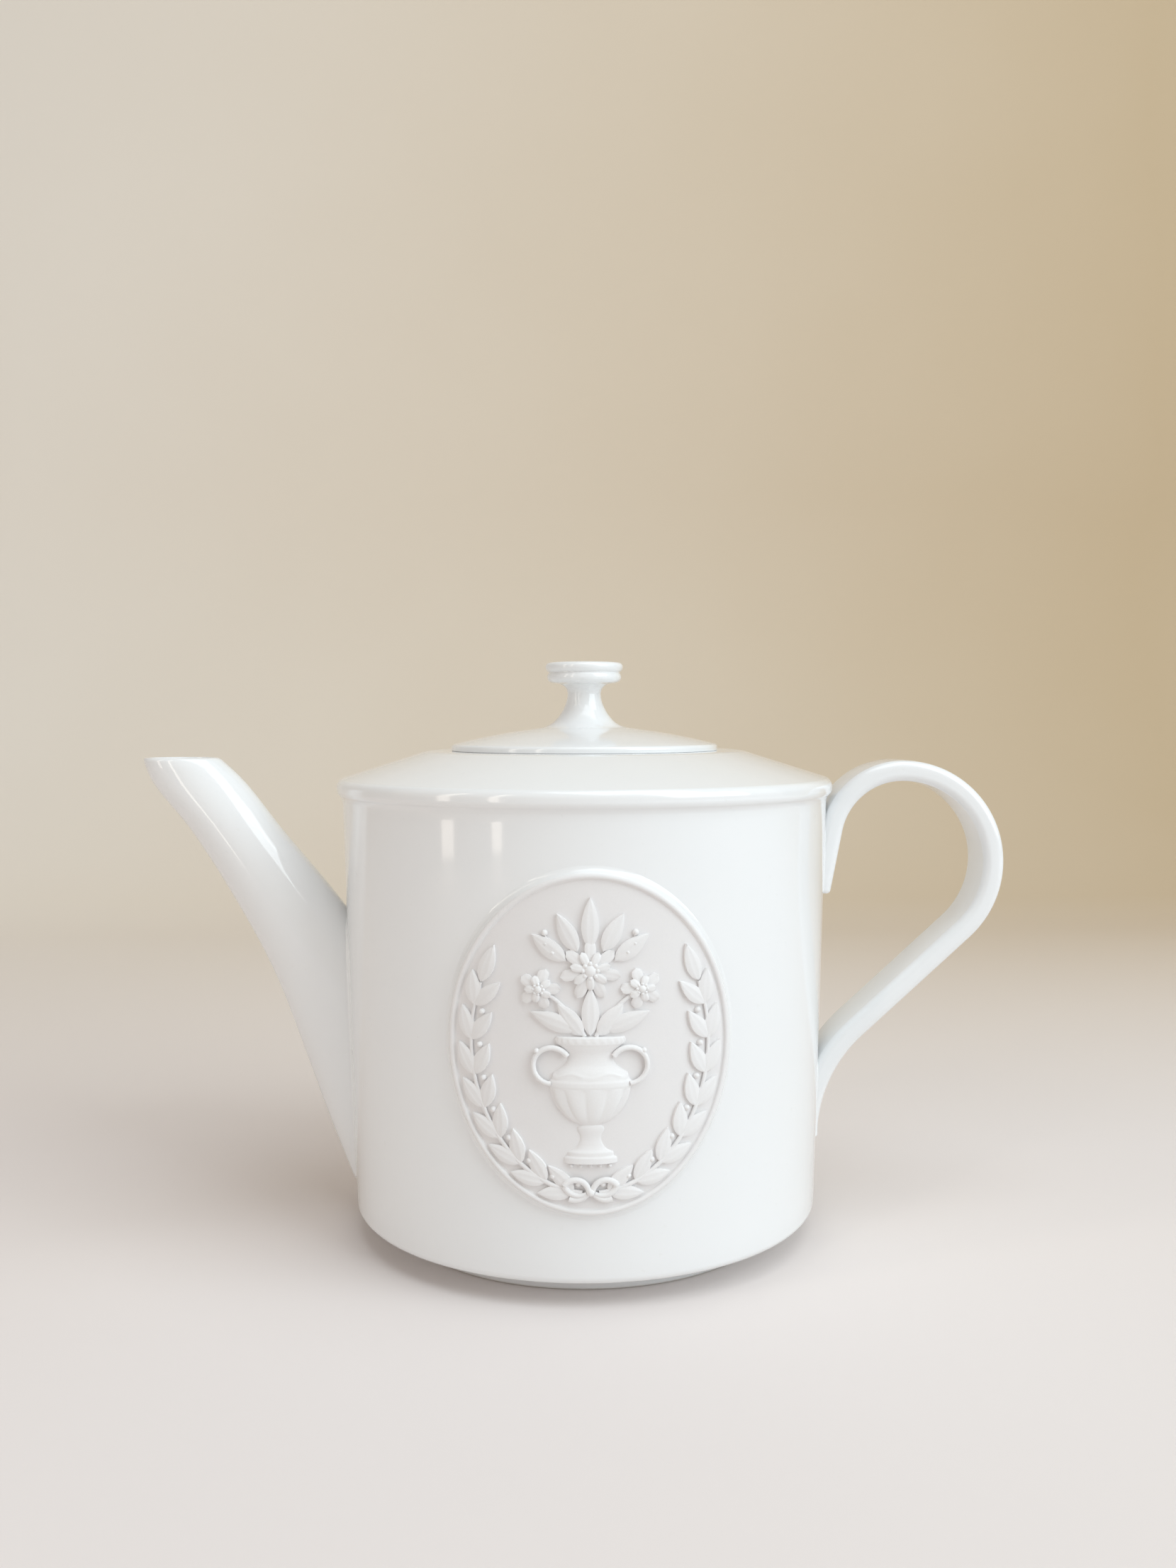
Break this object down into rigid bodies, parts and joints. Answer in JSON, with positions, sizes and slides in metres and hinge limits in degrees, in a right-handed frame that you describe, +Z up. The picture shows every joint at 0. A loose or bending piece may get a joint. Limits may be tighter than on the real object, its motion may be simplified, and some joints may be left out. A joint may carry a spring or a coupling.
{
  "type": "teapot",
  "caption": "White porcelain teapot with a straight wall, conical shoulder, low lid with a button knob, long spout, strap handle and an oval relief medallion.",
  "frame": {"origin": "on the pot's axis, in the plane of the foot ring's bearing face (the table)", "axes": "+Z up along the pot's axis, -X towards the spout, +X towards the handle, -Y towards the medallion"},
  "size_m": [0.2174, 0.1253, 0.1423],
  "materials": {
    "glaze": "gloss",
    "biscuit": "matte"
  },
  "bodies": {
    "pot": {"pot_body": "glaze", "shoulder": "glaze", "spout": "glaze", "handle": "glaze", "medallion_field": "biscuit", "medallion_border": "biscuit", "urn": "biscuit", "bouquet": "biscuit", "branch_left": "biscuit", "branch_right": "biscuit"},
    "lid": {"lid": "glaze", "lid_knob": "glaze", "lid_lug": "glaze"}
  },
  "joints": [
    {"name": "lid_lift", "type": "slide", "parent": "pot", "child": "lid", "axis": [0, 0, 1], "range_m": [0, 0.08]}
  ]
}
